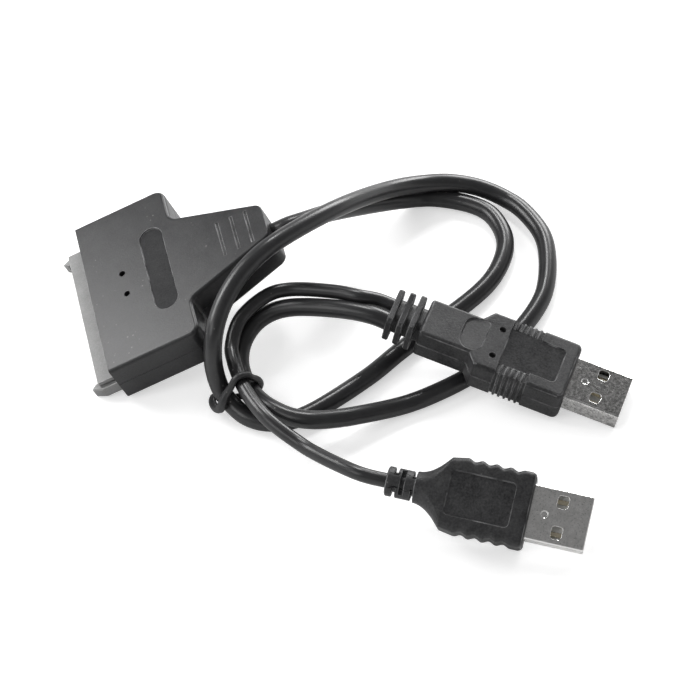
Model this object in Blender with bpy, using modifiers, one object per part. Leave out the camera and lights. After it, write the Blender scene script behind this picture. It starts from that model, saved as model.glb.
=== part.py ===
"""Drive adapter lead: a flat 22-way drive connector head, a looped lead and two flat plugs.

Lengths are in metres. The head's axis runs along +X towards its cable, +Y is across it and
+Z is up from the table. The origin lies on the table under the middle of the head.
"""

import math

import bmesh
import bpy
from mathutils import Euler, Matrix, Vector

MM = 0.001
CLEARANCE = 0.3 * MM  # between pieces that touch

# head housing, seen from above
HEAD_HEIGHT = 10.5 * MM
HEAD_LENGTH = 43.0 * MM
BODY_LENGTH = 22.3 * MM  # the full-width part, before the shoulders
NECK_WIDTH = 24.8 * MM  # at the shoulders
NECK_END_WIDTH = 10.0 * MM
SHOULDER_RADIUS = 2.5 * MM
NECK_END_RADIUS = 2.6 * MM
INNER_CORNER_RADIUS = 2.2 * MM
RIM_RADIUS = 0.9 * MM
RIM_STEPS = 4
FILLET_STEPS = 6
HOUSING_WALL = 1.4 * MM
NECK_SOLID = 9.0 * MM  # solid end of the neck that grips the cable
PILL_LENGTH = 24.0 * MM
PILL_WIDTH = 5.5 * MM
PILL_DEPTH = 0.35 * MM
PILL_BACK = 16.8 * MM  # its middle, behind the front edge
LAMP_HOLE = 1.4 * MM
LAMP_BACK = 8.4 * MM
LAMP_SPACING = 6.1 * MM
GRIP_LINE_BACKS = (32.0 * MM, 35.4 * MM, 38.8 * MM)
GRIP_LINE_LENGTHS = (10.0 * MM, 9.6 * MM, 9.2 * MM)
GRIP_LINE_WIDTH = 0.6 * MM
GRIP_LINE_DEPTH = 0.3 * MM
HEAD_PITCH = math.radians(20.4)  # the stiff lead holds the neck up

# 22-way drive connector in the head's mouth
CONNECTOR_WIDTH = 38.8 * MM
CONNECTOR_HEIGHT = 4.8 * MM
CONNECTOR_BOTTOM = 0.9 * MM
CONNECTOR_OUT = 4.5 * MM
CONNECTOR_IN = 6.0 * MM
CONTACT_PITCH = 1.27 * MM
CONTACT_WIDTH = 0.7 * MM
CONTACT_THICKNESS = 0.25 * MM
CONTACT_TAIL = 0.9 * MM  # on the board
DATA_WAYS = 7
POWER_WAYS = 15
SLOT_MARGIN = 0.7 * MM  # slot beyond the outer contacts
SLOT_HEIGHT = 1.9 * MM
SLOT_DEPTH = 8.0 * MM
SLOT_WEB = 2.3 * MM  # wall between the two slots
KEY_WIDTH = 1.1 * MM
KEY_DROP = 0.9 * MM
POST_WIDTH = 2.2 * MM
POST_HEIGHT = 2.9 * MM
POST_LIFT = 0.5 * MM
POST_REACH = 2.2 * MM  # beyond the connector's face
POST_OVERHANG = 0.9 * MM  # beyond the connector's end
HEAD_WIDTH = CONNECTOR_WIDTH + 2 * (POST_OVERHANG + CLEARANCE + HOUSING_WALL)

# board and its parts
BOARD_LENGTH = 20.0 * MM
BOARD_WIDTH = 34.0 * MM
BOARD_THICKNESS = 1.0 * MM
BOSS_DIAMETER = 2.6 * MM
BOSS_EDGE = 2.2 * MM  # from the board's corner to a boss's axis
CHIP_SIDE = 7.0 * MM
CHIP_THICKNESS = 1.0 * MM
CRYSTAL_LENGTH = 5.0 * MM
CRYSTAL_WIDTH = 3.2 * MM
CRYSTAL_HEIGHT = 1.2 * MM
LAMP_LENGTH = 1.6 * MM
LAMP_WIDTH = 0.8 * MM
LAMP_HEIGHT = 0.7 * MM
CORE_DIAMETER = 0.9 * MM
CORE_SPREAD = 1.3 * MM
CORE_COUNT = 4

# metal shell, tongue and contacts of both flat plugs
SHELL_WIDTH = 12.0 * MM
SHELL_HEIGHT = 4.5 * MM
SHELL_OUT = 12.6 * MM
SHELL_IN = 6.0 * MM
SHELL_SHEET = 0.35 * MM
SHELL_RADIUS = 0.7 * MM
WINDOW_LENGTH = 2.3 * MM
WINDOW_WIDTH = 2.7 * MM
WINDOW_RADIUS = 0.6 * MM
WINDOW_OFFSET = 3.3 * MM
WINDOW_BACK = 6.4 * MM  # ahead of the overmould's face
DIMPLE_DIAMETER = 1.5 * MM
DIMPLE_AHEAD = 3.1 * MM
TONGUE_THICKNESS = 1.7 * MM
TONGUE_SETBACK = 0.6 * MM
BLADE_WIDTH = 1.0 * MM
BLADE_THICKNESS = 0.25 * MM
BLADE_LENGTHS = (7.4 * MM, 6.4 * MM, 6.4 * MM, 7.4 * MM)
BLADE_SPREADS = (-3.5 * MM, -1.0 * MM, 1.0 * MM, 3.5 * MM)

# moulded grips of both plugs
GRIP_WIDTH = 16.2 * MM
GRIP_THICKNESS = 8.0 * MM
GRIP_ROUND = 0.9 * MM
GRIP_LEDGE = 0.15 * MM  # the lower half stands out at the parting
PANEL_WIDTH = 9.6 * MM
PANEL_DEPTH = 0.3 * MM
PANEL_RADIUS = 1.0 * MM

# data plug, distances behind the grip's front face
DATA_PANEL_START = 2.9 * MM
DATA_RIBS_START = 8.6 * MM
DATA_RIB_PITCH = 1.27 * MM
DATA_RIB_COUNT = 6
DATA_RIB_GROOVE = 0.72 * MM
DATA_RIB_DEPTH = 0.5 * MM
DATA_RIB_INWARD = 2.9 * MM
DATA_SHOULDER = 20.5 * MM
DATA_WAIST = 22.5 * MM
DATA_WAIST_WIDTH = 10.6 * MM
DATA_CORNER = 1.4 * MM
DATA_BODY_LENGTH = 34.3 * MM
DATA_HOLE_BACK = 17.6 * MM
DATA_HOLE_SPREAD = 7.7 * MM
DATA_HOLE_DIAMETER = 1.5 * MM
DATA_HOLE_DEPTH = 1.2 * MM
THUMB_BACKS = (20.4 * MM, 25.7 * MM)
THUMB_SIDES = (-4.5 * MM, 4.3 * MM)
THUMB_DEPTH = 0.45 * MM  # at its rear edge
DATA_RELIEF_CORE = (7.4 * MM, 5.4 * MM)
DATA_RING_GAP = 1.2 * MM
DATA_RING_LENGTH = 1.35 * MM
DATA_RING_PITCH = 2.5 * MM
DATA_RING_COUNT = 3
DATA_RING_SHRINK = 0.3 * MM  # of each ring against the one before
DATA_RING_ROUND = 0.25 * MM

# power plug, distances behind the grip's front face
POWER_LENGTH = 24.7 * MM
POWER_TAPER_START = 17.4 * MM
POWER_NECK_WIDTH = 6.8 * MM
POWER_PANEL = (3.7 * MM, 17.6 * MM)
WAVE_START = 2.6 * MM
WAVE_PITCH = 3.05 * MM
WAVE_COUNT = 4
WAVE_DEPTH = 0.55 * MM
WAVE_STEPS = 8  # sections in one wave
TAPER_STEPS = 10
POWER_GRIP_ROUND = 1.3 * MM
POWER_RELIEF = (6.4 * MM, 6.2 * MM)  # diameter, length
POWER_RELIEF_CORE = 4.2 * MM
POWER_RELIEF_CUTS = ((0.0 * MM, 0.6 * MM), (2.2 * MM, 3.1 * MM), (3.9 * MM, 4.7 * MM))
POWER_RELIEF_BRIDGE = 2.8 * MM

# lead
DATA_CABLE_DIAMETER = 3.8 * MM
POWER_CABLE_DIAMETER = 2.9 * MM
CABLE_INSIDE = 8.0 * MM  # length of the data cable held in the neck
CABLE_SPREAD = 4.6 * MM  # between the two cables where they leave the data plug
TIE_DIAMETER = 1.5 * MM
STRAIGHT_EXIT = 3.4 * MM  # lead that keeps its exit's direction

# where the plugs lie: x and y on the table, then heading, nose-down angle and roll
DATA_PLUG_PLACE = (77.4 * MM, -45.5 * MM)
DATA_PLUG_TURN = (math.radians(-32.4), math.radians(11.8), math.radians(-1.0))
POWER_PLUG_PLACE = (59.3 * MM, -79.2 * MM)
POWER_PLUG_TURN = (math.radians(-26.8), math.radians(4.9), math.radians(28.4))

# the data cable's route from the neck to the data plug, in millimetres
DATA_ROUTE = (
    (29.3, 1.0, 21.6), (34.4, 4.3, 18.8), (50.3, 15.6, 6.4), (55.8, 18.0, 3.4),
    (60.6, 18.6, 2.0), (69.8, 14.4, 2.0), (73.9, 10.1, 2.0), (75.4, 3.9, 2.0),
    (74.8, -0.9, 2.0), (72.1, -6.2, 2.0), (68.0, -10.9, 2.0), (60.8, -15.9, 2.0),
    (52.3, -20.4, 2.0), (44.0, -25.3, 2.0), (35.8, -30.5, 2.0), (21.2, -37.3, 2.0),
    (15.8, -38.3, 2.0), (11.3, -37.4, 2.0), (7.6, -35.1, 2.4), (5.2, -31.9, 3.2),
    (3.4, -28.9, 5.2), (2.6, -26.5, 9.2), (2.8, -24.9, 14.0), (3.9, -22.6, 17.8),
    (5.9, -19.4, 20.2), (8.7, -15.7, 21.6), (12.2, -13.1, 24.0), (16.2, -10.8, 25.8),
    (21.1, -8.1, 26.4), (35.3, 1.2, 22.7), (52.2, 15.5, 10.6), (60.2, 18.9, 6.6),
    (66.7, 18.3, 6.0), (73.8, 16.9, 3.5), (79.4, 12.4, 2.0), (82.5, 5.1, 2.0),
    (83.3, -1.9, 2.0), (79.8, -14.2, 2.0), (76.0, -20.9, 2.0), (63.4, -32.6, 2.0),
    (56.5, -36.3, 2.0), (46.7, -39.4, 2.0), (40.7, -40.5, 2.2), (31.3, -42.1, 4.0),
    (25.6, -43.0, 5.5), (20.6, -42.8, 6.4), (16.2, -40.7, 6.4), (12.5, -36.9, 6.2),
    (10.2, -32.0, 5.1), (9.1, -27.1, 4.5), (8.8, -22.9, 4.8), (9.6, -19.2, 5.4),
    (11.4, -16.0, 6.4), (14.2, -13.8, 7.8), (17.8, -13.1, 9.4), (22.2, -14.1, 11.0),
    (32.4, -19.8, 13.8),
)

# the power cable's route from the data plug to the power plug, in millimetres
POWER_ROUTE = (
    (37.1, -18.9, 15.6), (32.3, -15.6, 15.0), (22.7, -10.9, 13.4),
    (18.1, -11.0, 13.1), (11.0, -14.1, 10.6), (7.8, -19.4, 8.6), (7.3, -23.3, 8.4),
    (8.0, -32.3, 8.6), (11.0, -41.5, 8.9), (16.7, -49.2, 7.4), (19.9, -53.9, 8.2),
    (26.2, -61.8, 9.9),
)

# the wire tie's loop round the three runs, in millimetres
TIE_LOOP = (
    (2.6, -32.9, 5.9), (3.5, -32.1, 7.0), (5.0, -31.5, 8.8), (6.4, -30.9, 10.8),
    (7.9, -30.5, 11.2), (9.4, -30.1, 10.7), (10.8, -29.4, 8.6), (12.1, -28.7, 6.6),
    (12.4, -28.3, 4.1), (11.1, -28.1, 2.0), (8.7, -28.1, 1.3), (5.7, -28.1, 1.4),
    (3.4, -27.7, 1.4), (1.9, -27.0, 2.0), (0.7, -28.1, 2.2), (0.5, -30.0, 2.4),
    (1.1, -31.7, 2.8), (2.0, -32.8, 3.9),
)


# scene and materials
def clear_scene():
    for obj in list(bpy.data.objects):
        bpy.data.objects.remove(obj, do_unlink=True)


def material(name, colour, roughness, metallic=0.0):
    made = bpy.data.materials.get(name)
    if made is None:
        made = bpy.data.materials.new(name)
        made.use_nodes = True
        shader = made.node_tree.nodes["Principled BSDF"]
        shader.inputs["Base Color"].default_value = (*colour, 1.0)
        shader.inputs["Roughness"].default_value = roughness
        shader.inputs["Metallic"].default_value = metallic
    return made


def housing_plastic():
    return material("housing_plastic", (0.035, 0.035, 0.037), 0.42)


def connector_plastic():
    return material("connector_plastic", (0.42, 0.42, 0.42), 0.5)


def grip_plastic():
    return material("grip_plastic", (0.03, 0.03, 0.032), 0.6)


def cable_jacket():
    return material("cable_jacket", (0.022, 0.022, 0.024), 0.38)


def tie_jacket():
    return material("tie_jacket", (0.03, 0.03, 0.032), 0.45)


def nickel():
    return material("nickel", (0.62, 0.61, 0.59), 0.3, 1.0)


def gold():
    return material("gold", (0.83, 0.62, 0.25), 0.28, 1.0)


def tongue_plastic():
    return material("tongue_plastic", (0.8, 0.8, 0.78), 0.5)


def board_resin():
    return material("board_resin", (0.02, 0.13, 0.05), 0.5)


def chip_resin():
    return material("chip_resin", (0.02, 0.02, 0.02), 0.6)


def lamp_lens():
    return material("lamp_lens", (0.75, 0.75, 0.7), 0.25)


# shape helpers
def collection(name):
    made = bpy.data.collections.new(name)
    bpy.context.scene.collection.children.link(made)
    return made


def settle(obj, name, weld=False):
    """The object's evaluated shape as a plain mesh object at the same place."""
    graph = bpy.context.evaluated_depsgraph_get()
    mesh = bpy.data.meshes.new_from_object(obj.evaluated_get(graph))
    made = bpy.data.objects.new(name, mesh)
    made.matrix_world = obj.matrix_world.copy()
    for used in obj.users_collection:
        used.objects.link(made)
    bpy.data.objects.remove(obj, do_unlink=True)
    made.name = name
    if weld:
        form = bmesh.new()
        form.from_mesh(mesh)
        bmesh.ops.remove_doubles(form, verts=form.verts, dist=0.001 * MM)
        bmesh.ops.recalc_face_normals(form, faces=form.faces)
        form.to_mesh(mesh)
        form.free()
    return made


def arc_corner(before, corner, after, radius, steps):
    """Points of a fillet at a corner between two neighbours."""
    inward, outward = (before - corner).normalized(), (after - corner).normalized()
    half = inward.angle(outward) / 2
    if radius <= 0 or half > math.radians(89):
        return [corner]
    setback = min(radius / math.tan(half), (before - corner).length / 2, (after - corner).length / 2)
    start, end = corner + inward * setback, corner + outward * setback
    middle = corner + (inward + outward).normalized() * (setback / math.cos(half))
    first, last = start - middle, end - middle
    sweep = first.angle(last)
    points = []
    for step in range(steps + 1):
        share = step / steps
        blend = first * math.sin((1 - share) * sweep) + last * math.sin(share * sweep)
        points.append(middle + blend / math.sin(sweep))
    return points


def outline(corners, steps=4):
    """A closed outline from (x, y, fillet radius) corners."""
    flat = [Vector((x, y)) for x, y, radius in corners]
    points = []
    for place, (x, y, radius) in enumerate(corners):
        before, after = flat[place - 1], flat[(place + 1) % len(flat)]
        points += arc_corner(before, flat[place], after, radius, steps)
    return points


def both_sides(half):
    """Corners on the +Y side, from front to back, followed by their mirror images."""
    return list(half) + [(x, -y, radius) for x, y, radius in reversed(half)]


def slab(name, points, bottom, top, group):
    """A flat outline with thickness."""
    curve = bpy.data.curves.new(name, "CURVE")
    curve.dimensions = "2D"
    curve.fill_mode = "BOTH"
    curve.extrude = (top - bottom) / 2
    line = curve.splines.new("POLY")
    line.points.add(len(points) - 1)
    for spot, point in zip(line.points, points):
        spot.co = (point[0], point[1], 0.0, 1.0)
    line.use_cyclic_u = True
    holder = bpy.data.objects.new(name, curve)
    holder.location.z = (top + bottom) / 2
    group.objects.link(holder)
    bpy.context.view_layer.update()
    made = settle(holder, name, weld=True)
    made.data.transform(made.matrix_world)
    made.matrix_world = Matrix.Identity(4)
    return made


def bar_along(name, points, back, front, group):
    """An outline in Y and Z, with its thickness along X."""
    bar = slab(name, points, back, front, group)
    bar.data.transform(Matrix(((0, 0, 1, 0), (1, 0, 0, 0), (0, 1, 0, 0), (0, 0, 0, 1))))
    return bar


def block(name, low, high, group):
    """A box between two corners."""
    mesh = bpy.data.meshes.new(name)
    form = bmesh.new()
    bmesh.ops.create_cube(form, size=1.0)
    low, high = Vector(low), Vector(high)
    for vert in form.verts:
        vert.co = Vector([l + (h - l) * (c + 0.5) for l, h, c in zip(low, high, vert.co)])
    form.to_mesh(mesh)
    form.free()
    made = bpy.data.objects.new(name, mesh)
    group.objects.link(made)
    return made


def rod(name, centre, axis, diameter, length, group, sides=24, end_diameter=None):
    """A round bar that starts at a point and runs along an axis."""
    mesh = bpy.data.meshes.new(name)
    form = bmesh.new()
    bmesh.ops.create_cone(
        form,
        cap_ends=True,
        segments=sides,
        radius1=diameter / 2,
        radius2=(diameter if end_diameter is None else end_diameter) / 2,
        depth=length,
    )
    turn = Vector(axis).to_track_quat("Z", "Y").to_matrix().to_4x4()
    shift = Matrix.Translation(Vector(centre) + Vector(axis).normalized() * length / 2)
    bmesh.ops.transform(form, matrix=shift @ turn, verts=form.verts)
    form.to_mesh(mesh)
    form.free()
    made = bpy.data.objects.new(name, mesh)
    group.objects.link(made)
    return made


def skin(name, rings, group):
    """A closed body through rings with the same number of points."""
    mesh = bpy.data.meshes.new(name)
    form = bmesh.new()
    loops = [[form.verts.new(point) for point in ring] for ring in rings]
    for first, second in zip(loops, loops[1:]):
        for spot in range(len(first)):
            form.faces.new((first[spot - 1], first[spot], second[spot], second[spot - 1]))
    form.faces.new(loops[0])
    form.faces.new(loops[-1])
    bmesh.ops.recalc_face_normals(form, faces=form.faces)
    form.to_mesh(mesh)
    form.free()
    made = bpy.data.objects.new(name, mesh)
    group.objects.link(made)
    return made


def loft(name, sections, group, segments=4):
    """A closed bar along X through rounded sections: x, width, height and corner radius."""
    rings = []
    for x, width, height, radius in sections:
        half, up = width / 2, height / 2
        corners = [(half, up, radius), (half, -up, radius), (-half, -up, radius), (-half, up, radius)]
        rings.append([(x, y, z) for y, z in outline(corners, segments)])
    return skin(name, rings, group)


def facet(obj):
    """Splits every face into triangles, which are flat, so that a Boolean meets no warped face."""
    form = bmesh.new()
    form.from_mesh(obj.data)
    bmesh.ops.triangulate(form, faces=form.faces)
    form.to_mesh(obj.data)
    form.free()


def combine(obj, others, operation):
    """Joins or cuts with each of the others in turn, which are used up."""
    name = obj.name
    for other in others:
        facet(obj)
        facet(other)
        change = obj.modifiers.new("shape", "BOOLEAN")
        change.operation = operation
        change.solver = "EXACT"
        change.object = other
        bpy.context.view_layer.update()
        obj = settle(obj, name)
        bpy.data.objects.remove(other, do_unlink=True)
    return obj


def cut(obj, others):
    return combine(obj, others, "DIFFERENCE")


def join(obj, others):
    return combine(obj, others, "UNION")


def round_edges(obj, width, segments=2, angle=50.0):
    """Rounds the edges sharper than an angle."""
    change = obj.modifiers.new("rounding", "BEVEL")
    change.width = width
    change.segments = segments
    change.limit_method = "ANGLE"
    change.angle_limit = math.radians(angle)
    change.use_clamp_overlap = True
    bpy.context.view_layer.update()
    return settle(obj, obj.name)


def finish(obj, look, parent, smooth=35.0):
    """Gives a piece its material, its shading and its parent."""
    obj.data.materials.clear()
    obj.data.materials.append(look)
    obj.data.shade_smooth()
    obj.data.set_sharp_from_angle(angle=math.radians(smooth))
    if parent is not None:
        obj.parent = parent
    return obj


# the head
def head_outline(front, inset=0.0, back=0.0):
    """The housing's outline seen from above, moved inwards by an inset."""
    slope = (NECK_WIDTH - NECK_END_WIDTH) / 2 / (HEAD_LENGTH - BODY_LENGTH)
    side = inset * math.hypot(1.0, slope)
    body = HEAD_WIDTH / 2 - inset
    shoulder = BODY_LENGTH - inset
    neck = NECK_WIDTH / 2 - side + slope * inset
    end = HEAD_LENGTH - back
    end_half = NECK_WIDTH / 2 - side - slope * (end - BODY_LENGTH)
    return outline(
        both_sides(
            [
                (front, body, 0.0),
                (shoulder, body, max(SHOULDER_RADIUS - inset, 0.3 * MM)),
                (shoulder, neck, INNER_CORNER_RADIUS + inset),
                (end, end_half, max(NECK_END_RADIUS - inset, 0.3 * MM)),
            ]
        ),
        FILLET_STEPS,
    )


def rim_levels(low, high, radius, steps):
    """Heights between two faces and how far an outline is drawn in there, for round rims."""
    turns = [math.pi / 2 * step / steps for step in range(steps + 1)]
    rise = [(radius * (1 - math.cos(turn)), radius * (1 - math.sin(turn))) for turn in turns]
    lower = [(low + height, inset) for height, inset in rise]
    return lower + [(high - height, inset) for height, inset in reversed(rise)]


def grip_line_cutters(group):
    made = []
    for back, length in zip(GRIP_LINE_BACKS, GRIP_LINE_LENGTHS):
        low = (back, -length / 2, HEAD_HEIGHT - GRIP_LINE_DEPTH)
        high = (back + GRIP_LINE_WIDTH, length / 2, HEAD_HEIGHT + MM)
        made.append(block("grip_line", low, high, group))
    return made


def pill_cutter(group):
    half, side = PILL_WIDTH / 2, PILL_LENGTH / 2
    corners = [
        (PILL_BACK - half, side, half * 0.98),
        (PILL_BACK + half, side, half * 0.98),
        (PILL_BACK + half, -side, half * 0.98),
        (PILL_BACK - half, -side, half * 0.98),
    ]
    return slab("pill", outline(corners, 8), HEAD_HEIGHT - PILL_DEPTH, HEAD_HEIGHT + MM, group)


def lamp_places():
    return [(LAMP_BACK, side * LAMP_SPACING / 2) for side in (1, -1)]


def housing_shell(name, group, tools):
    """The whole housing with its hollow, its mouth and its cable bore, before it is split."""
    levels = rim_levels(0.0, HEAD_HEIGHT, RIM_RADIUS, RIM_STEPS)
    rings = [[(x, y, height) for x, y in head_outline(0.0, inset)] for height, inset in levels]
    shell = skin(name, rings, group)
    middle = HEAD_HEIGHT / 2
    hollow = slab(
        "hollow",
        head_outline(HOUSING_WALL, HOUSING_WALL, NECK_SOLID),
        HOUSING_WALL,
        HEAD_HEIGHT - HOUSING_WALL,
        tools,
    )
    mouth_side = CONNECTOR_WIDTH / 2 + POST_OVERHANG + CLEARANCE
    mouth = block(
        "mouth",
        (-MM, -mouth_side, CONNECTOR_BOTTOM - CLEARANCE),
        (
            CONNECTOR_IN + CLEARANCE,
            mouth_side,
            CONNECTOR_BOTTOM + CONNECTOR_HEIGHT + CLEARANCE,
        ),
        tools,
    )
    bore = rod(
        "bore",
        (HEAD_LENGTH - NECK_SOLID - MM, 0.0, middle),
        (1, 0, 0),
        DATA_CABLE_DIAMETER + 2 * CLEARANCE,
        NECK_SOLID + 2 * MM,
        tools,
    )
    return cut(shell, [hollow, mouth, bore])


def far_block(name, below, above, tools):
    """A block that covers the head between two heights."""
    low = (-HEAD_LENGTH, -HEAD_WIDTH, below)
    return block(name, low, (2 * HEAD_LENGTH, HEAD_WIDTH, above), tools)


def housing_top(group, tools, head):
    shell = housing_shell("housing_top_shell", group, tools)
    parting = HEAD_HEIGHT / 2 + CLEARANCE / 2
    holes = [
        rod(
            "lamp_hole",
            (x, y, HEAD_HEIGHT - 2 * HOUSING_WALL),
            (0, 0, 1),
            LAMP_HOLE,
            3 * HOUSING_WALL,
            tools,
            16,
        )
        for x, y in lamp_places()
    ]
    cutters = [far_block("lower", -HEAD_HEIGHT, parting, tools), pill_cutter(tools)]
    shell = cut(shell, cutters + holes + grip_line_cutters(tools))
    return finish(shell, housing_plastic(), head)


def board_bottom():
    """The board's lower face: its contacts' tails lie on its upper face."""
    return contact_tail_height() - CLEARANCE - BOARD_THICKNESS


def board_front():
    return CONNECTOR_IN + CLEARANCE


def boss_places():
    front, back = board_front() + BOSS_EDGE, board_front() + BOARD_LENGTH - BOSS_EDGE
    side = BOARD_WIDTH / 2 - BOSS_EDGE
    near = min(side, NECK_WIDTH / 2 - HOUSING_WALL - BOSS_DIAMETER)
    return [(front, side), (front, -side), (back, near), (back, -near)]


def housing_bottom(group, tools, head):
    shell = housing_shell("housing_bottom_shell", group, tools)
    parting = HEAD_HEIGHT / 2 - CLEARANCE / 2
    shell = cut(shell, [far_block("upper", parting, 2 * HEAD_HEIGHT, tools)])
    start = HOUSING_WALL / 2
    bosses = [
        rod(
            "boss",
            (x, y, start),
            (0, 0, 1),
            BOSS_DIAMETER,
            board_bottom() - CLEARANCE - start,
            tools,
            12,
        )
        for x, y in boss_places()
    ]
    return finish(join(shell, bosses), housing_plastic(), head)


# the drive connector
def slot_width(ways):
    return (ways - 1) * CONTACT_PITCH + CONTACT_WIDTH + 2 * SLOT_MARGIN


def slot_middles():
    """Across the connector: the data slot on +Y, the power slot on -Y, centred together."""
    data, power = slot_width(DATA_WAYS), slot_width(POWER_WAYS)
    whole = data + SLOT_WEB + power
    return whole / 2 - data / 2, -whole / 2 + power / 2


def slot_middle_height():
    return CONNECTOR_BOTTOM + CONNECTOR_HEIGHT * 0.55


def slot_top():
    return slot_middle_height() + SLOT_HEIGHT / 2


def slot_cutters(tools):
    """The two slots, each with its key at one end, as an L seen from the front."""
    made = []
    back = SLOT_DEPTH - CONNECTOR_OUT
    for middle, ways in zip(slot_middles(), (DATA_WAYS, POWER_WAYS)):
        left, right = middle - slot_width(ways) / 2, middle + slot_width(ways) / 2
        bottom = slot_top() - SLOT_HEIGHT
        corners = [
            (left, slot_top(), 0.0),
            (right, slot_top(), 0.0),
            (right, bottom, 0.0),
            (left + KEY_WIDTH, bottom, 0.0),
            (left + KEY_WIDTH, bottom - KEY_DROP, 0.0),
            (left, bottom - KEY_DROP, 0.0),
        ]
        made.append(bar_along("slot", outline(corners), -CONNECTOR_OUT - MM, back, tools))
    return made


def contact_tail_height():
    """The underside of the contacts' tails."""
    return slot_top() - CLEARANCE - CONTACT_THICKNESS


def contact_place(number, middle, ways):
    return middle + (number - (ways - 1) / 2) * CONTACT_PITCH


def connector_insulator(group, tools, head):
    half = CONNECTOR_WIDTH / 2
    top = CONNECTOR_BOTTOM + CONNECTOR_HEIGHT
    body = block(
        "drive_connector_insulator",
        (-CONNECTOR_OUT, -half, CONNECTOR_BOTTOM),
        (CONNECTOR_IN, half, top),
        group,
    )
    notch_in = POST_WIDTH - POST_OVERHANG + CLEARANCE
    notch_top = CONNECTOR_BOTTOM + POST_LIFT + POST_HEIGHT + CLEARANCE
    notches, posts = [], []
    for side in (1, -1):
        inner, outer = side * (half - notch_in), side * (half + MM)
        notches.append(
            block(
                "notch",
                (-CONNECTOR_OUT - MM, min(inner, outer), CONNECTOR_BOTTOM - MM),
                (0.0, max(inner, outer), notch_top),
                tools,
            )
        )
        posts.append(guide_post(side, tools))
    passages = []
    for middle, ways in zip(slot_middles(), (DATA_WAYS, POWER_WAYS)):
        side = slot_width(ways) / 2 - SLOT_MARGIN + CONTACT_WIDTH / 2
        low = contact_tail_height() - CLEARANCE
        passages.append(
            block(
                "passage",
                (SLOT_DEPTH - CONNECTOR_OUT - MM, middle - side, low),
                (CONNECTOR_IN + MM, middle + side, slot_top() - CLEARANCE / 4),
                tools,
            )
        )
    body = cut(body, notches)
    body = join(body, posts)
    body = cut(body, slot_cutters(tools) + passages)
    return finish(body, connector_plastic(), head)


def guide_post(side, tools):
    """A tapered post beside the connector's end, which the drive's socket guides on."""
    tip, root = -CONNECTOR_OUT - POST_REACH, CONNECTOR_IN / 2
    outer = CONNECTOR_WIDTH / 2 + POST_OVERHANG
    inner = outer - POST_WIDTH
    corners = [
        (root, side * inner, 0.0),
        (root, side * outer, 0.0),
        (tip + POST_WIDTH * 1.1, side * outer, 0.0),
        (tip, side * (inner + POST_WIDTH * 0.45), 0.0),
        (tip + POST_WIDTH * 0.5, side * inner, 0.0),
    ]
    bottom = CONNECTOR_BOTTOM + POST_LIFT
    post = slab("post", outline(corners), bottom, bottom + POST_HEIGHT, tools)
    return round_edges(post, POST_WIDTH * 0.12, 1)


def drive_contact(name, y, group, head):
    """A sprung strip: a bowed nose in the slot and a flat tail on the board."""
    tail = contact_tail_height()
    front = -CONNECTOR_OUT + 0.8 * MM
    back = board_front() + CONTACT_TAIL
    bow = SLOT_HEIGHT * 0.25
    nose = [(front, 0.0), (front + 1.2 * MM, -bow), (front + 2.6 * MM, -bow), (front + 4.2 * MM, 0.0)]
    line = nose + [(back, 0.0)]
    under = [(x, z + tail) for x, z in line]
    over = [(x, z + tail + CONTACT_THICKNESS) for x, z in reversed(line)]
    strip = slab(name, under + over, -CONTACT_WIDTH / 2, CONTACT_WIDTH / 2, group)
    strip.data.transform(Matrix.Translation((0, y, 0)) @ Matrix.Rotation(math.pi / 2, 4, "X"))
    return finish(strip, gold(), head)


def drive_contacts(group, head):
    for title, middle, ways in zip(
        ("data_contact", "power_contact"), slot_middles(), (DATA_WAYS, POWER_WAYS)
    ):
        for number in range(ways):
            y = contact_place(number, middle, ways)
            drive_contact(f"{title}_{number + 1}", y, group, head)


# the board and what stands on it
def board_outline():
    """The board fills the body and narrows at the shoulders."""
    front, back = board_front(), board_front() + BOARD_LENGTH
    step = BODY_LENGTH - HOUSING_WALL - MM
    side = BOARD_WIDTH / 2
    narrow = min(side, NECK_WIDTH / 2 - HOUSING_WALL - 2.0 * MM)
    if back <= step:
        return outline(both_sides([(front, side, 0.0), (back, side, 0.0)]))
    return outline(
        both_sides([(front, side, 0.0), (step, side, 0.0), (step, narrow, 0.0), (back, narrow, 0.0)])
    )


def circuit_board(group, head):
    bottom = board_bottom()
    board = slab("circuit_board", board_outline(), bottom, bottom + BOARD_THICKNESS, group)
    return finish(board, board_resin(), head)


def board_top():
    return board_bottom() + BOARD_THICKNESS


def bridge_chip(group, head):
    x = board_front() + BOARD_LENGTH * 0.5
    z = board_top() + CLEARANCE
    half = CHIP_SIDE / 2
    chip = block(
        "bridge_chip",
        (x - half, BOARD_WIDTH * 0.08 - half, z),
        (x + half, BOARD_WIDTH * 0.08 + half, z + CHIP_THICKNESS),
        group,
    )
    return finish(round_edges(chip, CHIP_THICKNESS * 0.15, 1), chip_resin(), head)


def crystal_can(group, head):
    x = board_front() + BOARD_LENGTH * 0.5
    y = -BOARD_WIDTH * 0.22
    z = board_top() + CLEARANCE
    can = block(
        "crystal_can",
        (x - CRYSTAL_WIDTH / 2, y - CRYSTAL_LENGTH / 2, z),
        (x + CRYSTAL_WIDTH / 2, y + CRYSTAL_LENGTH / 2, z + CRYSTAL_HEIGHT),
        group,
    )
    return finish(round_edges(can, CRYSTAL_HEIGHT * 0.25, 2), nickel(), head)


def lamps(group, head):
    """The two small lamps under the holes in the top shell."""
    for number, (x, y) in enumerate(lamp_places()):
        z = board_top() + CLEARANCE
        lamp = block(
            f"lamp_{number + 1}",
            (x - LAMP_LENGTH / 2, y - LAMP_WIDTH / 2, z),
            (x + LAMP_LENGTH / 2, y + LAMP_WIDTH / 2, z + LAMP_HEIGHT),
            group,
        )
        finish(round_edges(lamp, LAMP_WIDTH * 0.15, 1), lamp_lens(), head)


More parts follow.
